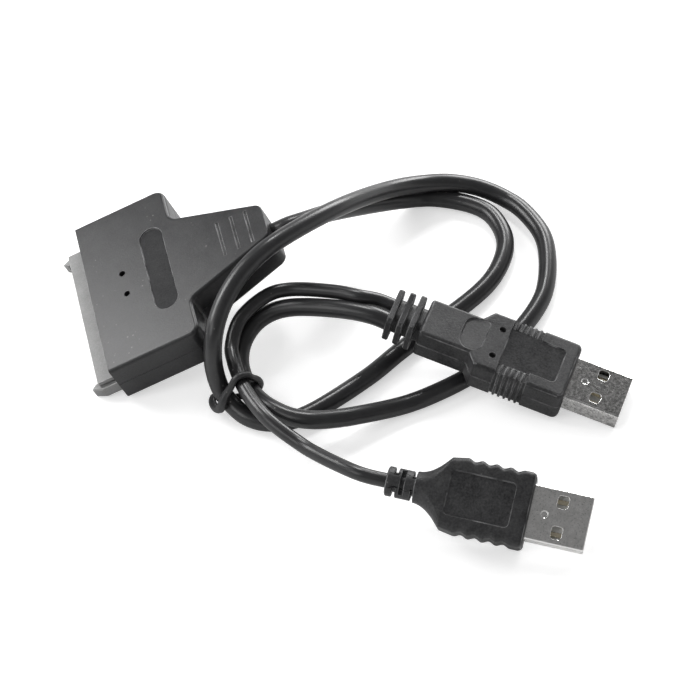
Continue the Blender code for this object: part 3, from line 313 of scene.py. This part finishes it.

# Shader group for rubbed edges with a painted highlight: it takes the rounded edges of a
# moulding and breaks them up, so that they shine and pale in places only. The paler colour is
# partly wear and partly a painted highlight along the rims. It also says where the sunk floors
# are.
worn_and_highlit_edges = bpy.data.node_groups.new("worn_and_highlit_edges", "ShaderNodeTree")
add_socket(worn_and_highlit_edges, "Patch Scale", "INPUT", 300.0)
add_socket(worn_and_highlit_edges, "Wear And Highlight", "OUTPUT")
add_socket(worn_and_highlit_edges, "Sunk Floor", "OUTPUT")
tree = worn_and_highlit_edges
taken, given = add_node(tree, "NodeGroupInput"), tree.nodes.new("NodeGroupOutput")
spot = add_node(tree, "ShaderNodeTexCoord")["Object"]
broken = add_node(tree, "ShaderNodeTexNoise", {
    "Vector": spot, "Scale": taken["Patch Scale"], "Detail": 4.0,
})
kept = add_node(tree, "ShaderNodeMapRange", {
    "Value": broken["Fac"], "From Min": 0.38, "From Max": 0.62,
})
edge_mark = add_node(tree, "ShaderNodeAttribute", attribute_name="worn_and_highlit_edge")
floor_mark = add_node(tree, "ShaderNodeAttribute", attribute_name="sunk_floor")
both = add_node(
    tree, "ShaderNodeMath", {0: edge_mark["Fac"], 1: kept["Result"]}, operation="MULTIPLY"
)
set_inputs(tree, given, {"Wear And Highlight": both[0], "Sunk Floor": floor_mark["Fac"]})


def mixed(tree, share, first, second, kind="RGBA"):
    """Two colours or two values mixed, each a constant or another node's output."""
    return add_node(
        tree, "ShaderNodeMix", {"Factor": share, "A": first, "B": second}, data_type=kind
    )["Result"]


def moulded_plastic(name, dark, light, edge, rough, grain, bump, dust, gloss):
    """A moulded plastic: mottled between two colours, grained, dusted, and paler at its edges
    from wear and a painted highlight.
    """
    look, tree, shader = new_look(name)
    surface = add_node(
        tree, "ShaderNodeGroup", {"Grain Scale": grain, "Dust Amount": dust},
        node_tree=moulded_surface,
    )
    rubbed_and_highlit = add_node(tree, "ShaderNodeGroup", node_tree=worn_and_highlit_edges)
    speckled = add_node(
        tree, "ShaderNodeMath", {0: surface["Mottle"], 1: surface["Grain"]}, operation="ADD"
    )
    body = add_node(tree, "ShaderNodeMapRange", {
        "Value": speckled[0], "From Min": 0.74, "From Max": 1.26,
    })
    tone = mixed(tree, body["Result"], (*dark, 1), (*light, 1))
    # The edge colour pales the rounded rims in patches: partly rubbed wear, partly a painted
    # highlight.
    paler = mixed(tree, rubbed_and_highlit["Wear And Highlight"], tone, (*edge, 1))
    dusty = mixed(tree, surface["Dust"], paler, (0.42, 0.41, 0.39, 1))
    matt = add_node(tree, "ShaderNodeMapRange", {
        "Value": surface["Mottle"], "To Min": rough - 0.06, "To Max": rough + 0.06,
    })
    shiny = mixed(tree, rubbed_and_highlit["Wear And Highlight"], matt["Result"], rough * 0.72, "FLOAT")
    sunken = mixed(tree, rubbed_and_highlit["Sunk Floor"], shiny, min(0.9, rough * 2.5), "FLOAT")
    relief = add_node(tree, "ShaderNodeBump", {
        "Strength": bump, "Distance": 0.00006, "Height": surface["Grain"],
    })
    set_inputs(tree, shader, {
        "Base Color": dusty,
        "Roughness": sunken,
        "Normal": relief["Normal"],
        "Specular IOR Level": gloss,
    })
    return look


connector_grey = moulded_plastic(
    "connector_grey", (0.185, 0.185, 0.185), (0.26, 0.26, 0.257), (0.5, 0.5, 0.495),
    rough=0.5, grain=3000.0, bump=0.25, dust=0.3, gloss=0.3,
)
insulator = moulded_copy(
    "drive_connector_moulding", "drive_connector_insulator", CONNECTOR_ROUND
)
insulator.data.materials.append(connector_grey)

# Spring contacts
# Twenty-two bowed strips of spring bronze with a gold flash, seven for data and fifteen for
# power, pressed into the insulator from behind.
gold_flash, tree, shader = new_look("gold_flash")
spot = add_node(tree, "ShaderNodeTexCoord")["Object"]
clouds = add_node(tree, "ShaderNodeTexNoise", {"Vector": spot, "Scale": 900.0, "Detail": 4.0})
matt = add_node(tree, "ShaderNodeMapRange", {
    "Value": clouds["Fac"], "To Min": 0.18, "To Max": 0.42,
})
set_inputs(tree, shader, {
    "Metallic": 1.0,
    "Base Color": mixed(tree, clouds["Fac"], (0.62, 0.55, 0.40, 1), (0.74, 0.68, 0.54, 1)),
    "Roughness": matt["Result"],
})
for number in range(1, 8):
    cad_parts[f"data_contact_{number}"].material_slots[0].material = gold_flash
for number in range(1, 16):
    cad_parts[f"power_contact_{number}"].material_slots[0].material = gold_flash

# Board and lamps
# A small green board with the bridge chip, the crystal's can and two milky lamps under the
# head's two holes. It is soldered to the connector's tails.
board_green = moulded_plastic(
    "board_green", (0.012, 0.10, 0.035), (0.022, 0.16, 0.06), (0.20, 0.22, 0.10),
    rough=0.32, grain=5200.0, bump=0.1, dust=0.0, gloss=0.5,
)
chip_black = moulded_plastic(
    "chip_black", (0.014, 0.014, 0.015), (0.03, 0.03, 0.031), (0.06, 0.06, 0.06),
    rough=0.42, grain=6000.0, bump=0.3, dust=0.0, gloss=0.5,
)
lamp_milk = moulded_plastic(
    "lamp_milk", (0.50, 0.50, 0.46), (0.62, 0.62, 0.58), (0.7, 0.7, 0.68),
    rough=0.22, grain=4000.0, bump=0.05, dust=0.0, gloss=0.5,
)


def plated_metal(name, deep, bright, edge, smooth, rough, specks, bump, cloudy):
    """Plate over a stamped sheet: cloudy, speckled, and bright at its edges from rubbing and a
    painted highlight.
    """
    look, tree, shader = new_look(name)
    spot = add_node(tree, "ShaderNodeTexCoord")["Object"]
    cloud = add_node(tree, "ShaderNodeTexNoise", {
        "Vector": spot, "Scale": cloudy, "Detail": 7.0, "Roughness": 0.72,
    })
    spread = add_node(tree, "ShaderNodeMapRange", {
        "Value": cloud["Fac"], "From Min": 0.36, "From Max": 0.64,
    })
    tone = mixed(tree, spread["Result"], (*deep, 1), (*bright, 1))
    pits = add_node(tree, "ShaderNodeTexVoronoi", {"Vector": spot, "Scale": 2100.0})
    dots = add_node(tree, "ShaderNodeMapRange", {
        "Value": pits["Distance"], "From Min": 0.32, "From Max": 0.12, "To Max": specks,
    })
    pitted = mixed(tree, dots["Result"], tone, (*(0.4 * part for part in deep), 1))
    # The rounded edges are paled towards the edge colour: partly rubbed plate, partly a painted
    # highlight.
    rubbed_and_highlit = add_node(
        tree, "ShaderNodeGroup", {"Patch Scale": 160.0}, node_tree=worn_and_highlit_edges
    )
    matt = add_node(tree, "ShaderNodeMapRange", {
        "Value": cloud["Fac"], "To Min": smooth, "To Max": rough,
    })
    relief = add_node(tree, "ShaderNodeBump", {
        "Strength": bump, "Distance": 0.00003, "Height": pits["Distance"],
    })
    set_inputs(tree, shader, {
        "Metallic": 1.0,
        "Base Color": mixed(tree, rubbed_and_highlit["Wear And Highlight"], pitted, (*edge, 1)),
        "Roughness": matt["Result"],
        "Normal": relief["Normal"],
    })
    return look


can_nickel = plated_metal(
    "can_nickel", (0.52, 0.51, 0.49), (0.68, 0.67, 0.65), (0.85, 0.85, 0.83),
    smooth=0.18, rough=0.34, specks=0.2, bump=0.1, cloudy=420.0,
)
for node, look in (
    ("circuit_board", board_green),
    ("bridge_chip", chip_black),
    ("crystal_can", can_nickel),
    ("lamp_1", lamp_milk),
    ("lamp_2", lamp_milk),
):
    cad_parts[node].material_slots[0].material = look

# Wires
# Four short vinyl-covered wires, red, white, green and black, run from the cable's end in the
# neck to their pads on the board.
for number, dark, light in (
    (1, (0.42, 0.02, 0.015), (0.56, 0.04, 0.03)),
    (2, (0.66, 0.66, 0.63), (0.78, 0.78, 0.75)),
    (3, (0.02, 0.20, 0.045), (0.04, 0.29, 0.08)),
    (4, (0.014, 0.014, 0.014), (0.028, 0.028, 0.028)),
):
    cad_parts[f"cable_core_{number}"].material_slots[0].material = moulded_plastic(
        f"wire_vinyl_{number}", dark, light, light,
        rough=0.38, grain=2400.0, bump=0.15, dust=0.0, gloss=0.5,
    )

# Housing halves
# Two black mouldings that meet at mid-height, with a spark-eroded grain, rounded rims, a sunk
# pill on top, two lamp holes and three grip lines. They close round the connector and the board.
HOUSING_ROUND = 0.00012
HEAD_TURN = (0.0, -20.4, 0.0)
PILL_DEPTH = 0.00035
# Its pale edge colour is partly wear and partly a painted highlight along the rims and round the
# sunk pill.
housing_black = moulded_plastic(
    "housing_black", (0.011, 0.011, 0.012), (0.026, 0.026, 0.027), (0.15, 0.15, 0.152),
    rough=0.34, grain=2600.0, bump=0.42, dust=0.35, gloss=0.42,
)
for name, node, parting in (
    ("upper_housing", "housing_top_shell", -1),
    ("lower_housing", "housing_bottom_shell", 1),
):
    half = moulded_copy(
        name, node, HOUSING_ROUND, turn=HEAD_TURN, sunk=PILL_DEPTH, parting=parting
    )
    half.data.materials.append(housing_black)

# Data plug
# A soft black grip is moulded over the metal shell's tail and round both cables. It has ribs,
# a sunk panel, a thumb rest and three flat rings that let the cable bend.
GRIP_ROUND = 0.00014
GRIP_NOSE = 0.0007
PANEL_DEPTH = 0.0003
SHELL_ROUND = 0.00013
DATA_PLUG_TURN = (-1.0, 11.8, -32.4)
# Its pale edge colour is partly wear and partly a painted highlight along the grips' rims.
grip_vinyl = moulded_plastic(
    "grip_vinyl", (0.010, 0.010, 0.011), (0.044, 0.044, 0.045), (0.15, 0.15, 0.152),
    rough=0.44, grain=2100.0, bump=0.9, dust=0.3, gloss=0.36,
)
data_grip = moulded_copy(
    "data_plug_moulding", "data_plug_grip", GRIP_ROUND,
    turn=DATA_PLUG_TURN, sunk=PANEL_DEPTH, nose=GRIP_NOSE,
)
data_grip.data.materials.append(grip_vinyl)
# The data shell's darker, cloudy nickel is partly painted shade, standing in for dark reflections
# on its upper face; its fine specks are pits in the plate.
shaded_shell_nickel = plated_metal(
    "shaded_shell_nickel", (0.24, 0.24, 0.235), (0.72, 0.71, 0.70), (0.97, 0.97, 0.96),
    smooth=0.12, rough=0.24, specks=0.8, bump=0.35, cloudy=1500.0,
)
data_shell = moulded_copy("data_plug_sleeve", "data_plug_shell", SHELL_ROUND)
data_shell.data.materials.append(shaded_shell_nickel)
tongue_white = moulded_plastic(
    "tongue_white", (0.72, 0.72, 0.70), (0.80, 0.80, 0.78), (0.82, 0.82, 0.8),
    rough=0.4, grain=3000.0, bump=0.15, dust=0.0, gloss=0.5,
)


def tongue_and_contacts(plug):
    """A plug's white tongue and its four contacts, with their looks."""
    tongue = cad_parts[f"{plug}_insulator"]
    tongue.material_slots[0].material = tongue_white
    contacts = [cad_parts[f"{plug}_contact_{number}"] for number in range(1, 5)]
    for contact in contacts:
        contact.material_slots[0].material = gold_flash
    return [tongue] + contacts


data_pieces = [data_grip, data_shell] + tongue_and_contacts("data_plug")

# Power plug
# The second grip is bottle-shaped, with waves along its edges, a sunk panel and bridged relief
# rings at its neck. The thinner cable goes into it, and its shell is brighter than the data
# plug's, whose nickel carries painted shade.
POWER_PLUG_TURN = (28.4, 4.9, -26.8)
power_grip = moulded_copy(
    "power_plug_moulding", "power_plug_grip", GRIP_ROUND,
    turn=POWER_PLUG_TURN, sunk=PANEL_DEPTH, nose=GRIP_NOSE,
)
power_grip.data.materials.append(grip_vinyl)
bright_nickel = plated_metal(
    "bright_nickel", (0.76, 0.755, 0.74), (0.91, 0.90, 0.89), (0.97, 0.97, 0.96),
    smooth=0.14, rough=0.28, specks=0.45, bump=0.2, cloudy=900.0,
)
power_shell = moulded_copy("power_plug_sleeve", "power_plug_shell", SHELL_ROUND)
power_shell.data.materials.append(bright_nickel)
power_pieces = [power_grip, power_shell] + tongue_and_contacts("power_plug")

# Wire tie
# A thin vinyl-covered wire, bent once round the three runs of cable at the left so that they
# stay together. Its curl at the left is a little thicker.
TIE_LOOP = (
    (2.8, -32.8, 5.8), (3.5, -32.1, 7.0), (5.0, -31.5, 8.8), (6.4, -30.9, 10.8),
    (7.9, -30.5, 11.1), (9.2, -30.1, 10.3), (10.3, -29.5, 8.4), (11.6, -28.8, 6.5),
    (12.1, -28.3, 4.2), (11.1, -28.1, 2.0), (8.7, -28.1, 1.3), (5.7, -28.1, 1.4),
    (3.4, -27.7, 1.4), (2.0, -27.2, 2.0), (1.2, -28.3, 2.2), (1.1, -30.0, 2.5),
    (1.5, -31.5, 2.9), (2.2, -32.6, 3.9),
)
CURL = Vector((0.0026, -0.0318, 0.0048))
CURL_REACH = 0.006
CURL_SWELL = 0.45
CORD_STEP = 0.0007
ABOVE_TABLE = 0.00002


def blend_point(before, start, end, after, share):
    """A point between start and end on a smooth curve through all four."""
    gap = [math.sqrt((b - a).length) for a, b in ((before, start), (start, end), (end, after))]
    t0, t1 = 0.0, gap[0]
    t2 = t1 + gap[1]
    t3 = t2 + gap[2]
    t = t1 + share * gap[1]
    low = before.lerp(start, (t - t0) / (t1 - t0))
    middle = start.lerp(end, (t - t1) / (t2 - t1))
    high = end.lerp(after, (t - t2) / (t3 - t2))
    left = low.lerp(middle, (t - t0) / (t2 - t0))
    right = middle.lerp(high, (t - t1) / (t3 - t1))
    return left.lerp(right, (t - t1) / (t2 - t1))


def smooth_route(route, closed):
    """Close points along a smooth curve through a route's points, which are in millimetres."""
    points = [Vector(point) / 1000 for point in route]
    if closed:
        padded = [points[-1]] + points + points[:2]
    else:
        padded = [2 * points[0] - points[1]] + points + [2 * points[-1] - points[-2]]
    fine = []
    for place in range(1, len(padded) - 2):
        around = padded[place - 1 : place + 3]
        steps = max(2, round((around[2] - around[1]).length / CORD_STEP))
        fine += [blend_point(*around, step / steps) for step in range(steps)]
    return fine if closed else fine + [padded[-2]]


def round_cord(name, route, diameter, look, closed=False, widths=None):
    """A round cord along a route, held above the table, and wider where widths says so."""
    fine = smooth_route(route, closed)
    lowest = diameter / 2 + ABOVE_TABLE
    curve = bpy.data.curves.new(name, "CURVE")
    curve.dimensions = "3D"
    curve.bevel_depth = diameter / 2
    curve.bevel_resolution = 7
    curve.use_fill_caps = not closed
    curve.twist_mode = "MINIMUM"
    spline = curve.splines.new("POLY")
    spline.points.add(len(fine) - 1)
    spline.use_cyclic_u = closed
    spline.use_smooth = True
    for knot, point in zip(spline.points, fine):
        knot.co = (point.x, point.y, max(point.z, lowest), 1.0)
        knot.radius = widths(point) if widths else 1.0
    curve.materials.append(look)
    cord = bpy.data.objects.new(name, curve)
    bpy.context.scene.collection.objects.link(cord)
    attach(cord, "root")
    return cord


def drawn_vinyl(name, dark, light, rough, gloss):
    """Vinyl drawn over a cord: fine streaks along it, a little mottling and dust."""
    look, tree, shader = new_look(name)
    surface = add_node(
        tree, "ShaderNodeGroup", {"Grain Scale": 1500.0, "Dust Amount": 0.45},
        node_tree=moulded_surface,
    )
    wrap = add_node(tree, "ShaderNodeUVMap")
    stretch = add_node(tree, "ShaderNodeMapping", {
        "Vector": wrap["UV"], "Scale": (60.0, 46.0, 1.0),
    })
    streaks = add_node(tree, "ShaderNodeTexNoise", {
        "Vector": stretch["Vector"], "Scale": 1.0, "Detail": 4.0,
    })
    body = add_node(tree, "ShaderNodeMapRange", {
        "Value": surface["Mottle"], "From Min": 0.3, "From Max": 0.7,
    })
    tone = mixed(tree, body["Result"], (*dark, 1), (*light, 1))
    matt = add_node(tree, "ShaderNodeMapRange", {
        "Value": streaks["Fac"], "To Min": rough - 0.08, "To Max": rough + 0.08,
    })
    joined = add_node(
        tree, "ShaderNodeMath", {0: streaks["Fac"], 1: surface["Grain"]}, operation="ADD"
    )
    relief = add_node(tree, "ShaderNodeBump", {
        "Strength": 0.11, "Distance": 0.00005, "Height": joined[0],
    })
    set_inputs(tree, shader, {
        "Base Color": mixed(tree, surface["Dust"], tone, (0.40, 0.39, 0.37, 1)),
        "Roughness": matt["Result"],
        "Normal": relief["Normal"],
        "Specular IOR Level": gloss,
    })
    return look


def curl_width(point):
    """How many times its own width the tie has at a point."""
    return 1.0 + CURL_SWELL * max(0.0, 1.0 - (point - CURL).length / CURL_REACH)


tie_vinyl = drawn_vinyl(
    "tie_vinyl", (0.018, 0.018, 0.019), (0.032, 0.032, 0.033), rough=0.36, gloss=0.45
)
tie = round_cord("wire_tie", TIE_LOOP, 0.0015, tie_vinyl, closed=True, widths=curl_width)
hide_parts("cable_tie")

# Power cable
# The thinner black cable runs from the data plug's relief, under the big loop, to the second
# plug. It is stiff enough to bow up off the table in the middle.
POWER_START = ((44.45, -21.87, 13.29), (40.98, -19.66, 14.14))
POWER_ROUTE = (
    (37.1, -18.9, 15.6), (32.3, -15.6, 15.0), (22.7, -10.9, 13.4),
    (18.1, -11.0, 13.1), (11.0, -14.1, 10.6), (7.8, -19.4, 8.6), (7.3, -23.3, 8.4),
    (8.0, -32.4, 8.6), (10.9, -41.8, 8.9), (16.6, -49.5, 7.4), (19.8, -54.2, 8.2),
    (26.1, -62.0, 9.9),
)
POWER_END = ((28.53, -63.66, 9.76), (32.26, -65.54, 9.40))
cable_vinyl = drawn_vinyl(
    "cable_vinyl", (0.013, 0.013, 0.014), (0.024, 0.024, 0.025), rough=0.31, gloss=0.5
)
power_cable = round_cord(
    "thin_cable", POWER_START + POWER_ROUTE + POWER_END, 0.0032, cable_vinyl
)
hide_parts("power_cable")

# Data cable
# The thick black cable leaves the head's neck, makes two loops, of which the outer lies on the
# table, climbs through the tie and ends in the data plug.
DATA_START = ((14.57, 0.0, 17.98), (22.07, 0.0, 20.77), (25.26, 0.0, 21.96))
DATA_ROUTE = (
    (29.3, 1.0, 21.6), (34.4, 4.3, 18.8), (50.3, 15.6, 6.4), (55.8, 18.0, 3.4),
    (60.6, 18.6, 2.0), (69.8, 14.4, 2.0), (73.9, 10.1, 2.0), (75.4, 3.9, 2.0),
    (74.8, -0.9, 2.0), (72.1, -6.2, 2.0), (68.0, -10.9, 2.0), (60.8, -15.9, 2.0),
    (52.3, -20.4, 2.0), (44.0, -25.3, 2.0), (35.8, -30.5, 2.0), (21.2, -37.3, 2.0),
    (15.8, -38.3, 2.0), (11.3, -37.4, 2.0), (7.6, -35.1, 2.4), (5.2, -31.9, 3.2),
    (3.4, -28.9, 5.2), (2.6, -26.5, 9.2), (2.8, -24.9, 14.0), (3.9, -22.6, 17.8),
    (5.9, -19.4, 20.2), (8.6, -16.4, 22.4), (12.1, -13.4, 24.3), (16.2, -10.8, 25.8),
    (21.1, -8.1, 26.4), (35.3, 1.2, 22.7), (52.2, 15.5, 10.6), (60.1, 18.7, 6.9),
    (66.8, 18.8, 5.4), (73.8, 16.9, 3.5), (79.6, 12.4, 2.0), (83.0, 5.0, 2.0),
    (83.9, -2.0, 2.0), (80.7, -14.4, 2.0), (76.5, -21.0, 2.0), (63.4, -32.6, 2.0),
    (56.5, -36.3, 2.0), (46.7, -39.4, 2.0), (40.7, -40.5, 2.2), (31.3, -42.1, 4.0),
    (25.6, -43.0, 5.5), (20.6, -42.8, 6.4), (16.2, -40.7, 6.4), (12.5, -36.9, 6.2),
    (10.2, -32.0, 5.1), (9.1, -27.1, 4.5), (8.8, -22.9, 4.8), (9.6, -19.2, 5.4),
    (11.4, -16.0, 6.4), (14.2, -13.8, 7.8), (17.8, -13.1, 9.4), (22.2, -14.1, 11.0),
    (32.4, -19.8, 13.8),
)
DATA_END = ((38.53, -23.55, 14.22), (42.0, -25.76, 13.37))
data_cable = round_cord(
    "thick_cable", DATA_START + DATA_ROUTE + DATA_END, 0.0041, cable_vinyl
)
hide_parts("data_cable")
